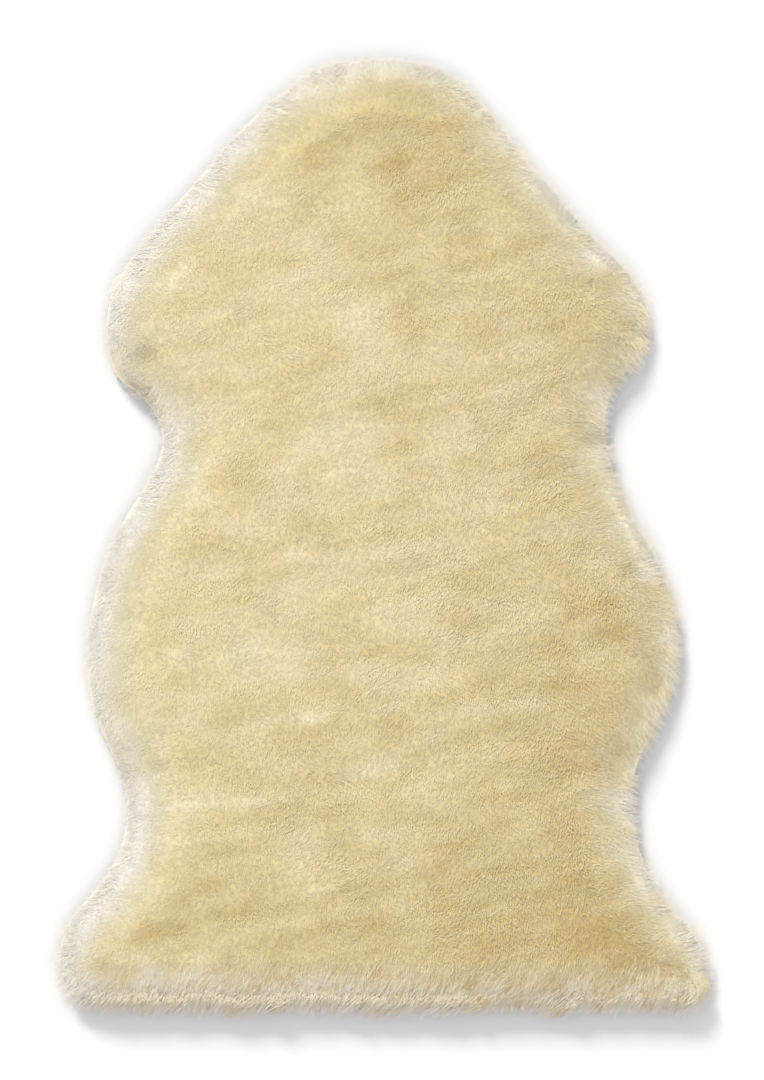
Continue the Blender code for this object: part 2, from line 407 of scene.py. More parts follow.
# Sheep leather, tanned and sueded: matte, cream, with soft clouds where it is thicker and a fine nap.
suede, tree, shader = new_material("sueded sheep leather")
CLOUD, NAP, VEIN = 60 * MM, 0.9 * MM, 56 * MM
place = add_node(tree, "ShaderNodeTexCoord").outputs["Object"]
cloud = add_node(tree, "ShaderNodeTexNoise", inputs={"Vector": place, "Scale": 1 / CLOUD, "Detail": 5.0})
vein = add_node(tree, "ShaderNodeTexNoise", {"noise_type": "RIDGED_MULTIFRACTAL"},
                {"Vector": place, "Scale": 1 / VEIN, "Detail": 3.0, "Distortion": 0.6})
nap = add_node(tree, "ShaderNodeTexNoise", inputs={"Vector": place, "Scale": 1 / NAP, "Detail": 3.0})
hide = add_node(tree, "ShaderNodeValToRGB", inputs={"Fac": cloud.outputs["Fac"]},
                stops=[(0.30, "#D9C7A0"), (0.50, "#E6D8B8"), (0.72, "#EFE5CD")])
veined = add_node(tree, "ShaderNodeMapRange", inputs={"Value": vein.outputs["Fac"], "From Min": 0.5,
                                                      "From Max": 1.4, "To Min": 0.0, "To Max": 0.35})
tinted = add_node(tree, "ShaderNodeMix", {"data_type": "RGBA", "blend_type": "MULTIPLY"},
                  {"Factor": veined.outputs["Result"], "A": hide.outputs["Color"], "B": linear("#D8BE95")})
tree.links.new(tinted.outputs["Result"], shader.inputs["Base Color"])
rise = add_node(tree, "ShaderNodeBump",
                inputs={"Height": nap.outputs["Fac"], "Strength": 0.5, "Distance": 0.4 * MM})
tree.links.new(rise.outputs["Normal"], shader.inputs["Normal"])
shader.inputs["Roughness"].default_value = 0.9
shader.inputs["Sheen Weight"].default_value = 0.25

bmesh.ops.dissolve_limit(solid, angle_limit=0.02, verts=solid.verts, edges=solid.edges)
bmesh.ops.triangulate(solid, faces=solid.faces)
skin_area = sum(f.calc_area() for f in solid.faces)
bmesh.ops.solidify(solid, geom=solid.faces, thickness=-SKIN_THICK)
for vertex in solid.verts:
    vertex.co.z = SKIN_THICK if vertex.co.z > SKIN_THICK / 2 else 0.0
skin = finish_piece(solid, "skin", suede)

# %% [markdown]
# ## Which way the wool lies
# The clipped tips are brushed over towards the tail, with swirls. Where the fleece is closed they lie almost
# flat and look like suede; where it is open they stand up a little and show their depth. Towards the rim
# they turn outwards more and more. Each lock's direction is a mix of the way out, the comb and a slow drift.
# The rim's wool is bleached and nearly white, partly as painted light, by a table of the distance from the
# skin's edge.

# %% Lie of the wool
COMB = np.array([-0.10, -1.0])  # towards the tail and a little to the left
RIM_REACH = 42 * MM  # how far in from the skin's edge the rim's lean is felt
LEAN_OPEN, LEAN_CLOSED, LEAN_RIPPLE = 73, 87, 3  # degrees from upright, and how much the ripples change it
SWIRL, SWIRL_WIDE = 0.42, 60 * MM
RIPPLE, RIPPLE_STRETCH, RIPPLE_ANGLE = 13 * MM, 4.5, 12  # width, times longer than wide, degrees
TOP_TONE = 0.365  # the tone at the rug's middle
# The mass's deeper tone is partly its own, near the skin, and partly painted shade where it shows between the
# locks, more where the pile is open; at the rim more painted shade is added.
MASS_GAP_SHADE = 0.20  # the dense wool is this much deeper in tone than the locks, whose tips are cleaner
RIM_GAP_SHADE, RIM_GAP_SHADE_FROM = 0.06, 18 * MM  # and by this much more at the rim, where it is seen between them
RIM_CLOUD, RIM_CLOUD_WIDE = 8 * MM, 26 * MM  # how far the bleached rim wanders in and out, and over how far
# Painted light: the left, where the light falls, gets a wider bleached rim.
LEFT_LIT_WIDER = 5 * MM  # the bleached rim is wider by this at the left, and by up to twice as much near the tail
NECK_DEEPER, NECK_FROM, NECK_OVER = 0.04, 350 * MM, 70 * MM
RIM_WHITE = 0.97  # the tone of fully bleached wool
# The bleaching is partly the wool's own and partly painted light.
RIM_PALE = [  # distance inside the skin's edge, mm; how far the wool is bleached there
    (-25, 1.0),
    (-19, 0.96),
    (-13, 0.84),
    (-6, 0.60),
    (0, 0.41),
    (8, 0.26),
    (18, 0.12),
    (36, 0.0),
]
pale_at, pale_by = (np.array(column) for column in zip(*RIM_PALE))
pale_at = pale_at * MM
HEM_FROM, HEM_OVER = 360 * MM, 70 * MM  # where the hem starts, towards the tail, and over how far
HEM_CORNER = 310 * MM  # its corners start a little within this, left and right


def lie_of_wool(points, inside_by, way_out):
    """The level direction in which the wool leans at each point, and how far it leans."""
    rim = np.clip(1 - inside_by / RIM_REACH, 0, 1) ** 1.3
    swirl = np.stack([drift(points, SWIRL_WIDE, 11), drift(points, SWIRL_WIDE, 12)], 1)
    _, off_line = near_partings(points)
    way = way_out * rim[:, None] * 1.6 + COMB * (1 - 0.55 * rim)[:, None] * 0.7
    way = way + swirl * SWIRL + off_line * 0.8
    lean = LEAN_CLOSED + (LEAN_OPEN - LEAN_CLOSED) * openness(points, inside_by)
    lean = lean + LEAN_RIPPLE * ripples(points, 13)
    return unit(way), np.radians(lean)


def ripples(points, seed):
    """Soft bands across the rug, rising a little to the right, where the fleece was stretched in drying. They
    tilt the wool's lean, and in its tone they are painted light and shade.
    """
    turn = math.radians(RIPPLE_ANGLE)
    along = points[:, 0] * math.cos(turn) + points[:, 1] * math.sin(turn)
    across = points[:, 1] * math.cos(turn) - points[:, 0] * math.sin(turn)
    return drift(np.stack([along / RIPPLE_STRETCH, across], 1), RIPPLE, seed)


def at_tail(points):
    """1 along the tail end with its two corners, 0 elsewhere."""
    return np.clip((-points[:, 1] - HEM_FROM) / HEM_OVER, 0, 1)


def at_hem(points):
    """1 along the hem, 0 elsewhere and at its two corners."""
    return at_tail(points) * np.clip((HEM_CORNER - np.abs(points[:, 0])) / HEM_OVER, 0, 1)


def looseness(points):
    """How loose and uneven the rim's wool is: calm at the left and the neck, loose at the right and the
    hem."""
    x, y = points[:, 0], points[:, 1]
    return np.clip(0.45 + 1.5 * x - 0.6 * np.maximum(y, 0) + at_tail(points), 0.15, 1.5)


def calmness(points):
    """1 where the rim's wool is calm, 0 where it is loose."""
    return np.clip(1.2 - 1.6 * looseness(points), 0, 1)


def tone_of_wool(points, inside_by, way_out, random, even=False):
    """The tone and warmth of the wool at each point. If even, for the mass, they are the same for neighbours
    and darkened by painted shade where the mass shows between the locks.
    """
    x, y = points[:, 0], points[:, 1]
    gold = drift(points, 38 * MM, 23, 3)
    # Deeper away from the middle, and most of all past the shoulders, at the right and towards the tail; the
    # darkening at the right and towards the tail is painted shade, away from the light.
    tone = (TOP_TONE - 1.25 * x**2 - 0.75 * y**2 - 0.7 * np.maximum(y - 0.28, 0) - 0.12 * np.maximum(x, 0)
            + 0.06 * np.minimum(y, 0) - 0.04 * gold)
    # Painted light and shade on the ripples, and a painted highlight along each parting.
    tone = tone + 0.05 * drift(points, 80 * MM, 21) + 0.08 * ripples(points, 22) + near_partings(points)[0]
    cloud = RIM_CLOUD * np.clip(0.2 + looseness(points), 0, 1)
    # Painted light: the bleached rim reaches further in at the left.
    left_lit_wider = LEFT_LIT_WIDER * np.clip(-x / (200 * MM), 0, 1) * (1 + np.clip(-y / (300 * MM), 0, 1))
    clouded = inside_by + cloud * drift(points, RIM_CLOUD_WIDE, 24) - left_lit_wider
    # The hem bleaches further in but less fully, and the undersides of the legs less; the lesser white at
    # the hem, the right flank and under the legs is painted shade, away from the light.
    hem = at_hem(points)
    below = np.clip(-way_out[:, 1], 0, 1) * (1 - at_tail(points))
    rim = np.clip(np.interp(clouded, pale_at, pale_by) * (1 + 0.6 * hem - 0.5 * below), 0, 1)
    white = RIM_WHITE - 0.17 * hem - 0.22 * np.maximum(x, 0)
    # Mixed towards the rim's white, and darkened in the hollows as painted shade.
    tone = tone + (white - tone) * rim - 18 * hollow_depth(points)
    tone = tone - NECK_DEEPER * np.clip((y - NECK_FROM) / NECK_OVER, 0, 1)
    warmth = 0.46 + 0.6 * x * (1 - rim) + 0.20 * gold + 0.6 * hem * np.sqrt(rim)
    if even:
        # Painted shade where the mass shows between the locks, and more at the rim.
        tone = tone - MASS_GAP_SHADE * openness(points, inside_by)
        tone = tone - RIM_GAP_SHADE * np.clip(1 - inside_by / RIM_GAP_SHADE_FROM, 0, 1)
    else:
        tone = tone + random.normal(0, 0.04, len(points)) * openness(points, inside_by)
        warmth = warmth + random.normal(0, 0.05, len(points))
    return tone, np.clip(warmth, 0, 1)


# %% [markdown]
# ## The wool's material
# Washed sheep's wool is keratin with a little grease left in it: matte, slightly translucent, with a soft
# sheen from its millions of round fibres. Its colours come from the chart: one ramp for cool cream and one
# for warm cream, each from gold at the roots to white, mixed by the lock's warmth.

# %% Wool materials
COOL_CREAM = [(0.0, "#C7B77C"), (0.25, "#DFD3A3"), (0.5, "#EEE5BE"), (0.75, "#F8F2D8"), (1.0, "#FEFDF9")]
WARM_CREAM = [(0.0, "#CEB074"), (0.25, "#E4CE9D"), (0.5, "#F4E2B8"), (0.75, "#FBEFD4"), (1.0, "#FEFBF4")]
CHART = "OFBake"

fleece, tree, shader = new_material("clipped sheep's wool")
chart = add_node(tree, "ShaderNodeUVMap", {"uv_map": CHART})
parts = add_node(tree, "ShaderNodeSeparateXYZ", inputs={"Vector": chart.outputs["UV"]})
cool = add_node(tree, "ShaderNodeValToRGB", inputs={"Fac": parts.outputs["Y"]}, stops=COOL_CREAM)
warm = add_node(tree, "ShaderNodeValToRGB", inputs={"Fac": parts.outputs["Y"]}, stops=WARM_CREAM)
mixed = add_node(tree, "ShaderNodeMix", {"data_type": "RGBA"},
                 {"Factor": parts.outputs["X"], "A": cool.outputs["Color"], "B": warm.outputs["Color"]})
tree.links.new(mixed.outputs["Result"], shader.inputs["Base Color"])
shader.inputs["Roughness"].default_value = 0.75
shader.inputs["Sheen Weight"].default_value = 0.35
shader.inputs["Sheen Roughness"].default_value = 0.45

# The dense wool under the tips is the same wool, a felt of crossing fibres: the chart's colours, a little
# clouded, over a fine rough nap.
CLUMP, CLUMP_TONE = 1.4 * MM, 0.08

deep_wool, tree, shader = new_material("dense wool under the tips")
chart = add_node(tree, "ShaderNodeUVMap", {"uv_map": CHART})
parts = add_node(tree, "ShaderNodeSeparateXYZ", inputs={"Vector": chart.outputs["UV"]})
place = add_node(tree, "ShaderNodeTexCoord").outputs["Object"]
clump = add_node(tree, "ShaderNodeTexNoise", inputs={"Vector": place, "Scale": 1 / CLUMP, "Detail": 4.0})
shift = add_node(tree, "ShaderNodeMapRange",
                 inputs={"Value": clump.outputs["Fac"], "To Min": -CLUMP_TONE, "To Max": CLUMP_TONE})
tone = add_node(tree, "ShaderNodeMath", {"operation": "ADD"},
                {0: parts.outputs["Y"], 1: shift.outputs["Result"]})
cool = add_node(tree, "ShaderNodeValToRGB", inputs={"Fac": tone.outputs["Value"]}, stops=COOL_CREAM)
warm = add_node(tree, "ShaderNodeValToRGB", inputs={"Fac": tone.outputs["Value"]}, stops=WARM_CREAM)
mixed = add_node(tree, "ShaderNodeMix", {"data_type": "RGBA"},
                 {"Factor": parts.outputs["X"], "A": cool.outputs["Color"], "B": warm.outputs["Color"]})
tree.links.new(mixed.outputs["Result"], shader.inputs["Base Color"])
rise = add_node(tree, "ShaderNodeBump",
                inputs={"Height": clump.outputs["Fac"], "Strength": 0.25, "Distance": 1 * MM})
tree.links.new(rise.outputs["Normal"], shader.inputs["Normal"])
shader.inputs["Roughness"].default_value = 0.9

# %% [markdown]
# ## The mass of the wool
# Wool is dense near the skin, where no single lock can be told from the next. One closed shell stands for
# that mass. A fine grid is laid over the rug, cut to the outline, raised to a little below the finished
# top, and closed below. The locks grow out of it and hide it almost everywhere.

# %% Mass of the wool
BODY_CELL = 3.3 * MM
BODY_OUT = 22 * MM  # how far the mass stands outside the skin's edge
CALM_OUT = 5 * MM  # and this much further where the rim's wool is calm
BRIM_DIP, BRIM_WIDE = 0.6 * MM, 6 * MM  # there it dips this much towards its own edge, over this far
UNDER_CLOSED, UNDER_OPEN = 0.35 * MM, 1.2 * MM  # how far it stays below closed and below open wool
RIM_UNDER = 2.0 * MM  # and below the loose wool of the rim
UNDER_FROM, UNDER_OVER = 20 * MM, 30 * MM  # where it starts to go down to that, inside the skin's edge
LUMP, LUMP_WIDE = 0.2 * MM, 5 * MM
LOWEST = 4 * MM  # its brim is never lower than this
FOOT_IN = 18 * MM  # how far its foot is drawn in under the rim
GRID_PAST = 15 * MM


def mass_reach(points):
    """How far outside the skin's edge the mass ends: further out where the rim's wool is calm."""
    return BODY_OUT + CALM_OUT * calmness(points)


def wool_mass():
    """A closed shell with the rug's outline, a little below the finished wool."""
    bm = bmesh.new()
    low, high = edge.min(0) - BODY_OUT - GRID_PAST, edge.max(0) + BODY_OUT + GRID_PAST
    counts = np.ceil((high - low) / BODY_CELL).astype(int)
    bmesh.ops.create_grid(bm, x_segments=int(counts[0]), y_segments=int(counts[1]), size=0.5)
    middle, across = (low + high) / 2, high - low
    bmesh.ops.scale(bm, vec=(across[0], across[1], 1), verts=bm.verts)
    bmesh.ops.translate(bm, vec=(middle[0], middle[1], 0), verts=bm.verts)
    points = np.array([v.co for v in bm.verts])
    beyond_by = -place_on_rug(points)[0] - mass_reach(points)
    beyond = [v for v, by in zip(bm.verts, beyond_by) if by > -BODY_CELL * 0.4]
    bmesh.ops.delete(bm, geom=beyond, context="VERTS")
    loose = [v for v in bm.verts if len(v.link_faces) < 2]
    bmesh.ops.delete(bm, geom=loose, context="VERTS")

    points = np.array([v.co for v in bm.verts])
    inside_by, way_out, _ = place_on_rug(points)
    onto_line = np.array([v.is_boundary for v in bm.verts])
    points[onto_line, :2] += (way_out * (inside_by + mass_reach(points))[:, None])[onto_line]
    inside_by = place_on_rug(points)[0]
    lumps = drift(points, LUMP_WIDE, 3) * LUMP
    rim = np.clip((UNDER_FROM - inside_by) / UNDER_OVER, 0, 1)
    under = UNDER_CLOSED + (UNDER_OPEN - UNDER_CLOSED) * openness(points, inside_by)
    under = under + (RIM_UNDER * np.clip(0.50 + looseness(points), 0, 1) - under) * rim
    brim = np.clip(1 - (inside_by + mass_reach(points)) / BRIM_WIDE, 0, 1)
    under = under + BRIM_DIP * calmness(points) * brim
    points[:, 2] = wool_height(points, inside_by) - hollow_depth(points) - under + lumps
    points[:, 2] = np.maximum(points[:, 2], LOWEST)
    for vertex, place in zip(bm.verts, points):
        vertex.co = place
    rim = [e for e in bm.edges if e.is_boundary]
    wall = bmesh.ops.extrude_edge_only(bm, edges=rim)["geom"]
    foot = [v for v in wall if isinstance(v, bmesh.types.BMVert)]
    places = np.array([v.co for v in foot])
    places[:, :2] -= place_on_rug(places)[1] * FOOT_IN
    for vertex, place in zip(foot, places):
        vertex.co = (place[0], place[1], SKIN_THICK)
    bmesh.ops.triangle_fill(bm, edges=[e for e in bm.edges if e.is_boundary], use_beauty=True)
    return bm


# %% [markdown]
# The mass gets its tones on the chart as the locks do, deepened by painted shade where it shows between
# them. It is shaded by the fleece's surface with a little of its own lumps mixed in, but not at its very
# edge, where its own faces turn down and would catch the light.

# %% Tones and shading of the mass
OWN_LUMPS = 0.25  # how much of its own lumps is mixed in
NO_LUMPS_WITHIN = 8 * MM  # less and less over this far from its edge
FOOT_HIGH = 3 * MM  # everything lower is its foot

mass = finish_piece(wool_mass(), "wool_mass", deep_wool)
places = np.empty(len(mass.data.vertices) * 3, np.float32)
mass.data.vertices.foreach_get("co", places)
places = places.reshape(-1, 3)
inside_by, way_out, _ = place_on_rug(places)
tone, warmth = tone_of_wool(places, inside_by, way_out, np.random.default_rng(3), even=True)
corners = np.empty(len(mass.data.loops), np.int32)
mass.data.loops.foreach_get("vertex_index", corners)
layer = mass.data.uv_layers.new(name=CHART)
layer.uv.foreach_set("vector", np.stack([warmth, tone], 1)[corners].astype(np.float32).ravel())
top = places[:, 2] > FOOT_HIGH
facing = facing_of_wool(places, inside_by, way_out)
own = np.empty(len(places) * 3, np.float32)
mass.data.vertices.foreach_get("normal", own)
off_edge = np.clip((inside_by + mass_reach(places)) / NO_LUMPS_WITHIN, 0, 1)
blended = unit(facing + OWN_LUMPS * off_edge[:, None] * own.reshape(-1, 3))
facing = np.where(top[:, None], blended, own.reshape(-1, 3))
mass.data.normals_split_custom_set_from_vertices(facing.astype(np.float32))

# %% [markdown]
# ## One lock, and many
# A lock starts as a cone with few sides. It is cut across where it should bend or swell, and each cut ring
# gets its own width. Copying it thousands of times as objects would stall Blender, so the copies are
# joined as they are made: numpy bends the one lock along a curve for each copy, from root over a bend
# to tip, and all of them become one mesh.


# %% Lock template
def lock_shape(sides, rings):
    """A pointed lock of unit length. rings are rows of (how far along, width), the first at its root."""
    bm = bmesh.new()
    bmesh.ops.create_cone(bm, cap_ends=True, segments=sides, radius1=1, radius2=0, depth=1)
    bmesh.ops.translate(bm, vec=(0, 0, 0.5), verts=bm.verts)
    bmesh.ops.remove_doubles(bm, verts=bm.verts, dist=0.001)
    for along, _ in rings[1:]:
        everything = bm.verts[:] + bm.edges[:] + bm.faces[:]
        bmesh.ops.bisect_plane(bm, geom=everything, plane_co=(0, 0, along), plane_no=(0, 0, 1))
    for vertex in bm.verts:
        for along, width in rings:
            if abs(vertex.co.z - along) < 0.001:
                vertex.co.xy = vertex.co.xy.normalized() * width
    bm.verts.index_update()
    shape = np.array([v.co for v in bm.verts])
    faces = [[v.index for v in f.verts] for f in bm.faces]
    bm.free()
    triangles = sum(len(f) - 2 for f in faces)
    print(f"lock of {sides} sides: {len(shape)} points, {triangles} triangles")
    return shape, faces


SIDE_TINT = 0.006  # the sides of a lock differ by this much on the chart
OWN_SHAPE = 0.05  # how far a lock is shaded by its own roundness, and not by the fleece's surface
TIP_GAIN = 0.08  # a lock's tip is this much paler than its root


def grow(name, template, rows, random, flat):
    """One mesh with a copy of the lock for each row: its root, bend and tip, its width, how far it may be
    turned about itself, its tones, its warmth and how it is shaded. flat is its thickness for its width."""
    shape, faces = template
    root, bend, tip = (rows[key][:, None] for key in ("root", "bend", "tip"))
    count, along = len(root), shape[None, :, 2:]
    spine = (1 - along) ** 2 * root + 2 * along * (1 - along) * bend + along**2 * tip
    heading = unit((1 - along) * (bend - root) + along * (tip - bend))
    level = unit(np.cross(tip - root, (0, 0, 1)) + 1e-9)
    over = unit(np.cross(heading, level))
    side = np.cross(over, heading)
    turn = random.uniform(-1, 1, (count, 1)) * rows["turned"][:, None]
    x = shape[None, :, 0] * np.cos(turn) - shape[None, :, 1] * flat * np.sin(turn)
    y = shape[None, :, 0] * np.sin(turn) + shape[None, :, 1] * flat * np.cos(turn)
    width = rows["width"][:, None, None]
    round_lock = x[..., None] * side + y[..., None] * over
    points = spine + width * round_lock
    own = unit(round_lock + (along > 0.99) * heading)
    share = rows["own"][:, None, None]
    facing = unit(own * share + rows["facing"][:, None] * (1 - share))

    angle = np.arctan2(shape[:, 1], shape[:, 0])
    gain = TIP_GAIN * (shape[:, 2] - 0.6)
    tone = rows["root_tone"][:, None] * (1 - shape[:, 2]) + rows["tone"][:, None] * shape[:, 2] + gain
    tone = tone + SIDE_TINT * np.sin(angle) * (shape[:, 2] < 1)
    warmth = rows["warmth"][:, None] + SIDE_TINT * np.cos(angle) * (shape[:, 2] < 1)
    chart_place = np.clip(np.stack([warmth, tone], -1), 0.01, 0.99).reshape(-1, 2)

    lengths = np.array([len(f) for f in faces])
    corners = np.concatenate([np.array(f) for f in faces])
    all_corners = (corners[None] + np.arange(count)[:, None] * len(shape)).ravel()
    starts = np.concatenate([[0], np.cumsum(np.tile(lengths, count))[:-1]])
    mesh = bpy.data.meshes.new(name)
    mesh.vertices.add(count * len(shape))
    mesh.vertices.foreach_set("co", points.astype(np.float32).ravel())
    mesh.loops.add(len(all_corners))
    mesh.loops.foreach_set("vertex_index", all_corners.astype(np.int32))
    mesh.polygons.add(count * len(faces))
    mesh.polygons.foreach_set("loop_start", starts.astype(np.int32))
    mesh.update(calc_edges=True)
    mesh.shade_smooth()
    mesh.normals_split_custom_set_from_vertices(facing.reshape(-1, 3).astype(np.float32))
    layer = mesh.uv_layers.new(name=CHART)
    layer.uv.foreach_set("vector", chart_place[all_corners].astype(np.float32).ravel())
    return place_piece(mesh, name, fleece)


# %% [markdown]
# ## Top wool
# Clipped wool gathers in small tufts, three to four millimetres apart, whose locks end near one tip. We set
# out the tufts on a shaken honeycomb, find each tuft's clipped tip on the finished top, and run its locks
# from a wide root to near that tip. Where the fleece is closed the locks lie flat and alike; where it is
# open they stray and turn. Four bands from neck to rump keep each mesh small enough to handle.

# %% Top wool
TUFT_SPACING = 3.45 * MM
TUFT_SHAKE = 0.36  # how far a tuft is off its place, for its spacing
TOP_OUT, TOP_FADE = 24 * MM, 28 * MM  # how far the tufts reach outside the skin, thinning out over so much
LOCKS_A_TUFT = 4
ROOT_WIDE, TIP_WIDE = 2.0 * MM, 1.7 * MM  # how far a tuft's locks stand apart at their roots and their tips
TOP_LONG = 4.4 * MM
TOP_WIDE, TOP_FLAT = 0.68 * MM, 0.16  # a lock's width, and its thickness for its width
STRAY = 0.45  # radians by which a lock strays from its neighbours
ARCH = 0.10  # how high a lock arches, for its length
TOP_BANDS = ["rump_wool", "back_wool", "shoulder_wool", "neck_wool"]
AROUND = 50 * MM  # the honeycomb is laid this far past the skin
top_random = np.random.default_rng(7)


def tuft_places(spacing, shake, reach_out, reach_in, random, fade_out=0.0, fade_in=0.0):
    """Points of a shaken honeycomb from reach_out beyond the skin's edge to reach_in inside it, thinned out
    over the last fade_out and fade_in of the way."""
    low, high = edge.min(0) - AROUND, edge.max(0) + AROUND
    rows = np.arange(low[1], high[1], spacing * math.sqrt(0.75))
    columns = np.arange(low[0], high[0], spacing)
    x, y = np.meshgrid(columns, rows)
    x = x + spacing / 2 * (np.arange(len(rows)) % 2)[:, None]
    points = np.stack([x.ravel(), y.ravel()], 1)
    points += random.uniform(-shake, shake, points.shape) * spacing
    inside_by, way_out, round_by = place_on_rug(points)
    luck = random.uniform(0, 1, len(points))
    keep = (inside_by > fade_out * luck - reach_out) & (inside_by < reach_in - fade_in * luck)
    return points[keep], inside_by[keep], way_out[keep], round_by[keep]


def tuft_locks(tips, way, lean, facing, open_by, count, spread, gather, long, wide, tones, random):
    """Rows for grow: count locks for each tuft, from a spread root to a gathered tip."""
    n = len(tips)
    total = n * count
    again = np.repeat(np.arange(n), count)
    tip, way, lean, open_by = tips[again], way[again], lean[again], open_by[again]
    lean = np.clip(lean + random.normal(0, 0.12, total) * open_by, 0.05, 1.52)
    length = long[again] * random.uniform(0.86, 1.1, total)
    swing = random.normal(0, STRAY, total)
    way = np.stack([way[:, 0] * np.cos(swing) - way[:, 1] * np.sin(swing),
                    way[:, 0] * np.sin(swing) + way[:, 1] * np.cos(swing)], 1)
    back = np.stack([way[:, 0] * np.sin(lean), way[:, 1] * np.sin(lean), np.cos(lean)], 1)
    ring = random.uniform(0, 2 * math.pi, total)
    off = np.stack([np.cos(ring), np.sin(ring), np.zeros(total)], 1)
    reach = np.sqrt(random.uniform(0.05, 1, total))
    root = tip - back * length[:, None] + off * (spread * reach)[:, None]
    end = tip + off * (gather * reach)[:, None]
    end[:, 2] += random.normal(0, 0.3 * MM, total) * open_by
    middle = (root + end) / 2
    middle[:, 2] += length * ARCH * (0.3 + 0.7 * open_by)
    tone, warmth = (t[again] for t in tones)
    tone = tone + random.normal(0, 0.02, total)
    return {"root": root, "bend": middle, "tip": end, "width": wide[again] * random.uniform(0.75, 1.25, total),
            "tone": tone, "root_tone": tone, "warmth": warmth, "facing": facing[again],
            "own": np.full(total, OWN_SHAPE), "turned": 0.04 + 0.24 * open_by}


points, inside_by, way_out, _ = tuft_places(TUFT_SPACING, TUFT_SHAKE, TOP_OUT, 1.0, top_random,
                                            fade_out=TOP_FADE)
order = np.argsort(points[:, 1], kind="stable")
points, inside_by, way_out = points[order], inside_by[order], way_out[order]
way, lean = lie_of_wool(points, inside_by, way_out)
height = wool_height(points, inside_by) - hollow_depth(points)
open_by = openness(points, inside_by)
towards_rim = np.clip((12 * MM - inside_by) / (30 * MM), 0, 1)
height += 0.25 * MM * open_by * drift(points, 7 * MM, 31) - 0.5 * MM * towards_rim
long = TOP_LONG * (1 + 1.3 * towards_rim)
wide = TOP_WIDE * (1 - 0.5 * towards_rim)
tips = np.column_stack([points, height])
tones = tone_of_wool(points, inside_by, way_out, top_random)
facing = facing_of_wool(points, inside_by, way_out)
print(f"{len(tips)} tufts on top")

spike = lock_shape(3, [(0.0, 1.0)])
for name, band in zip(TOP_BANDS, np.array_split(np.arange(len(tips)), len(TOP_BANDS))):
    rows = tuft_locks(tips[band], way[band], lean[band], facing[band], open_by[band], LOCKS_A_TUFT, ROOT_WIDE,
                      TIP_WIDE, long[band], wide[band], [t[band] for t in tones], top_random)
    grow(name, spike, rows, top_random, flat=TOP_FLAT)

# %% [markdown]
# ## Rim wool
# Beyond the skin's edge the wool hangs free, as long as it grew: about 30 mm. Its fibres lie over one
# another like thatch, following the fall of the rim, and hold together in staples that draw to a point.
# Each fibre's tip is set on the fall, and its root lies a little under the fall further in. At the very edge
# a fringe of more fibres thickens the wool, because no others lie over it there. Thin strands of one tone
# run along the wool, strongest at the hem, partly the wool's own tone and partly painted light and shade
# between the strands; at the left and the neck the rim is calm, short and even.

# %% Rim wool
RIM_SPACING, RIM_SHAKE = 2.35 * MM, 0.45
RIM_FIBRES = 3  # fibres at each place
RIM_OUT, RIM_IN = 31 * MM, 22 * MM  # how far outside and inside the skin's edge their tips lie
FRINGE_SPACING = 3.0 * MM  # more fibres at the very edge, where no others lie over them
FRINGE_PAST, FRINGE_DEEP = 2 * MM, 9 * MM  # they end from so far beyond RIM_OUT to so far within it
FIBRE_LONG = (11 * MM, 19 * MM)  # at the inner and at the outer tips
FIBRE_WIDE, FIBRE_FLAT = 0.30 * MM, 0.2
CALM_SHORTER, CALM_THINNER, HEM_THICKER = 0.45, 0.2, 0.6  # shares by which the fibres differ there
STAPLE_STEP, COURSE_STEP = 10 * MM, 9 * MM  # the room that a staple takes along the rim and across it
STAPLE_PULL, COURSE_PULL = 0.35, 0.15  # how much of the way a fibre's tip is drawn to its staple's tip
STAPLE_UNEVEN = 3.5 * MM  # how far one staple ends before or past the next
RIM_LUMPS, RIM_LUMPS_WIDE = 2.5 * MM, 20 * MM  # how uneven the wool's outline is
FEATHER = 0.8 * MM  # how far the outline's fibres end before or past one another where the rim is calm
STRAND_WIDE, STRAND_LONG = 2.4 * MM, 5  # a strand's width, and how many times longer it is
# Strand and staple tones: partly the wool's own, partly painted light and shade between the strands.
STRAND_TONE, STAPLE_TONE = 0.24, 0.10
STRAND_SLANT = 0.5
RIM_COMB = np.array([-0.05, -0.30])  # the rim's wool is combed a little towards the tail
RIM_SWIRL, RIM_SWIRL_WIDE = 0.45, 26 * MM
HEM_SLANT = 0.6  # at the hem the wool points this much to the left
rim_random = np.random.default_rng(23)


def rim_lie(points, way_out):
    """The level direction in which the rim's wool points."""
    swirl = np.stack([drift(points, RIM_SWIRL_WIDE, 41), drift(points, RIM_SWIRL_WIDE, 42)], 1)
    slant = np.stack([-HEM_SLANT * np.clip(-way_out[:, 1], 0, 1) ** 2, np.zeros(len(points))], 1)
    return unit(way_out + RIM_COMB + slant + RIM_SWIRL * swirl)


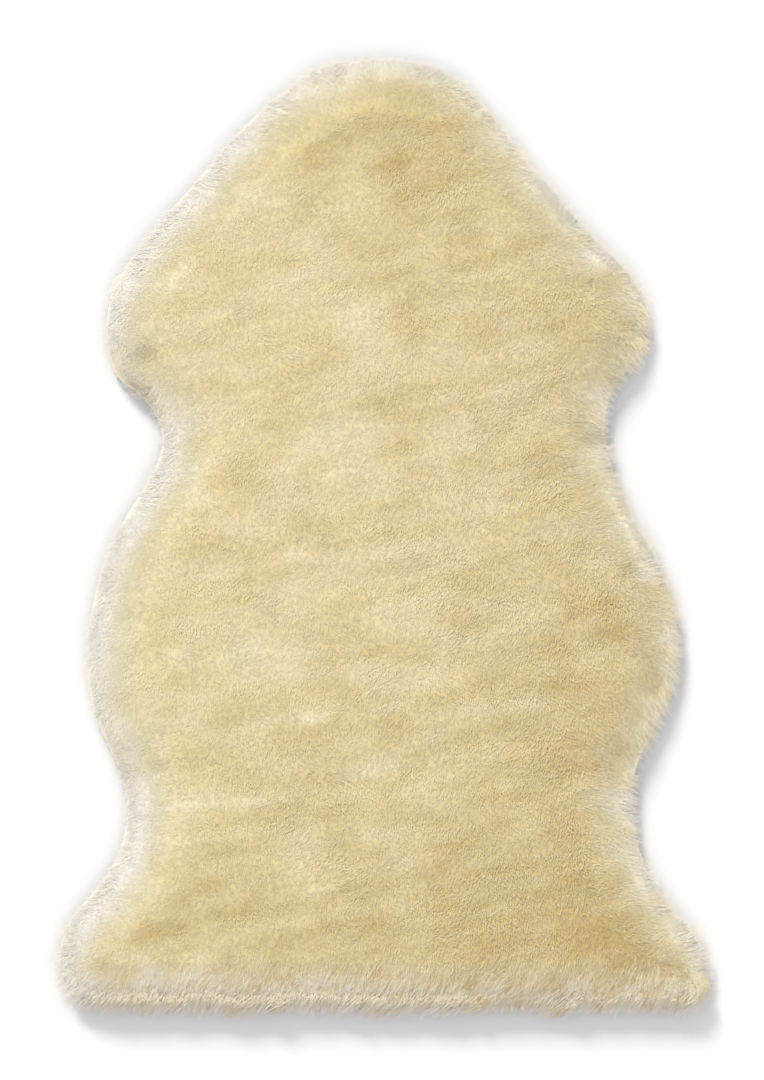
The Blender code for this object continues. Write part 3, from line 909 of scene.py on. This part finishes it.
def rim_rows(points, inside_by, way_out, round_by, random):
    """Rows for grow: fibres of the rim, each with its tip near one of the points."""
    again = np.repeat(np.arange(len(points)), RIM_FIBRES)
    facing, out = facing_of_wool(points, inside_by, way_out)[again], rim_lie(points, way_out)[again]
    point, by, travel = points[again], inside_by[again], round_by[again]
    total = len(again)
    across = np.stack([-out[:, 1], out[:, 0]], 1)
    outer = np.clip((RIM_IN - by) / (RIM_IN + RIM_OUT), 0, 1)
    course = np.floor((RIM_OUT + by) / COURSE_STEP)
    staple = np.round(travel / STAPLE_STEP + course * 0.37) - course * 0.37
    luck = drift(np.stack([staple * 13.7 * MM, course * 57 * MM], 1), 5 * MM, 44)
    off_side = (staple * STAPLE_STEP - travel) * STAPLE_PULL * outer
    loose, calm, hem = looseness(point), calmness(point), at_hem(point)
    off_out = ((RIM_OUT + by) - (course + 0.3) * COURSE_STEP) * COURSE_PULL * outer
    off_out = off_out + luck * STAPLE_UNEVEN * outer * (1 - 0.6 * calm)
    off_out = off_out + FEATHER * random.normal(0, 1, total) * calm * outer**2
    long = FIBRE_LONG[0] + (FIBRE_LONG[1] - FIBRE_LONG[0]) * outer
    long = long * random.uniform(0.8, 1.2, total) * (1 - CALM_SHORTER * calm)
    lumps = RIM_LUMPS * outer * drift(point, RIM_LUMPS_WIDE, 45)
    reach = -by + off_out + random.normal(0, 0.7, total) * MM + lumps
    tip = point + out * (reach + by)[:, None] + across * (off_side + random.normal(0, 0.8, total) * MM)[:, None]
    spread = random.normal(0, 2.6, total) * MM
    root = point - out * (long - reach - by)[:, None] + across * (spread + off_side * 0.2)[:, None]
    deep = random.uniform(0.6, 2.4, total) * MM * np.clip(0.3 + loose, 0, 1)
    rough = (random.normal(0, 0.45, total) + 0.9 * luck * outer) * loose * MM
    tip_height = wool_height(tip, -reach) - hollow_depth(tip) + rough
    root_height = wool_height(root, long - reach) - hollow_depth(root) - deep
    tip = np.column_stack([tip, np.maximum(tip_height, 1 * MM)])
    root = np.column_stack([root, np.maximum(root_height, 1 * MM)])
    tone, warmth = tone_of_wool(point, by, way_out[again], random)
    root_tone, _ = tone_of_wool(root, long - reach, way_out[again], random)
    along_strand = np.column_stack([travel - STRAND_SLANT * by * hem, by / STRAND_LONG])
    strand = drift(along_strand, STRAND_WIDE, 46) + drift(along_strand, STRAND_WIDE / 2, 47)
    # Painted light and shade, with the wool's own tone, sets the strands apart.
    shade = STAPLE_TONE * luck + STRAND_TONE * (1 + 2 * hem) * strand + random.normal(0, 0.06, total)
    tone = tone + shade * np.sqrt(outer) * loose
    width = FIBRE_WIDE * random.uniform(0.7, 1.3, total) * (1 - 0.35 * outer**2)
    width = width * (1 + HEM_THICKER * hem - CALM_THINNER * calm)
    return {"root": root, "bend": (tip + root) / 2, "tip": tip, "width": width, "tone": tone,
            "root_tone": root_tone, "warmth": warmth, "facing": facing, "own": 0.04 + 0.22 * loose * outer,
            "turned": 0.03 + 0.3 * loose}


thatch = tuft_places(RIM_SPACING, RIM_SHAKE, RIM_OUT, RIM_IN, rim_random, fade_in=RIM_IN)
fringe = tuft_places(FRINGE_SPACING, RIM_SHAKE, RIM_OUT + FRINGE_PAST, -RIM_OUT + FRINGE_DEEP, rim_random)
points, inside_by, way_out, round_by = (np.concatenate(pair) for pair in zip(thatch, fringe))
print(f"{len(points) * RIM_FIBRES} fibres at the rim")
right = points[:, 0] > 0
for name, half in (("rim_wool_right", right), ("rim_wool_left", ~right)):
    rows = rim_rows(points[half], inside_by[half], way_out[half], round_by[half], rim_random)
    grow(name, spike, rows, rim_random, flat=FIBRE_FLAT)

# %% [markdown]
# ## Floor and light
# The rug lies on a plain white floor. One soft light stands low beyond the neck, a little to the left, and
# rakes over the wool, which draws its grain and leaves a soft shadow under the hem and the right side. A
# weaker, much softer and slightly warm light from the tail end keeps the hem from going grey, and a pale sky
# fills the rest, so that the white floor just reaches full white.

# %% Floor
FLOOR_HALF = 6

paper, tree, shader = new_material("matte white floor")
shader.inputs["Base Color"].default_value = linear("#F3F3F3")
shader.inputs["Roughness"].default_value = 0.9
bm = bmesh.new()
bmesh.ops.create_grid(bm, x_segments=1, y_segments=1, size=FLOOR_HALF)
mesh = bpy.data.meshes.new("floor")
bm.to_mesh(mesh)
bm.free()
mesh.materials.append(paper)
floor = bpy.data.objects.new("floor", mesh)
bpy.context.scene.collection.objects.link(floor)

# %% Light
SUN_FROM = (-0.35, 0.90, 0.45)
SUN_STRENGTH, SUN_SOFT = 3.4, 14  # how many degrees of the sky a light fills makes its shadows soft
FILL_FROM = (0.15, -1.0, 0.35)
FILL_STRENGTH, FILL_SOFT = 0.95, 70
SKY_STRENGTH = 0.66


def add_light(name, come_from, strength, soft, code):
    """A soft light from far away."""
    light = bpy.data.objects.new(name, bpy.data.lights.new(name, "SUN"))
    bpy.context.scene.collection.objects.link(light)
    light.data.energy = strength
    light.data.angle = math.radians(soft)
    light.data.color = linear(code)[:3]
    light.rotation_mode = "QUATERNION"
    light.rotation_quaternion = Vector(come_from).to_track_quat("Z", "Y")


add_light("soft light", SUN_FROM, SUN_STRENGTH, SUN_SOFT, "#FFFAF0")
add_light("warm fill", FILL_FROM, FILL_STRENGTH, FILL_SOFT, "#FFF6F0")

world = bpy.data.worlds.new("pale studio")
bpy.context.scene.world = world
world.use_nodes = True
background = world.node_tree.nodes["Background"]
background.inputs["Color"].default_value = linear("#FAFBFF")
background.inputs["Strength"].default_value = SKY_STRENGTH
bpy.context.scene.view_settings.view_transform = "Standard"
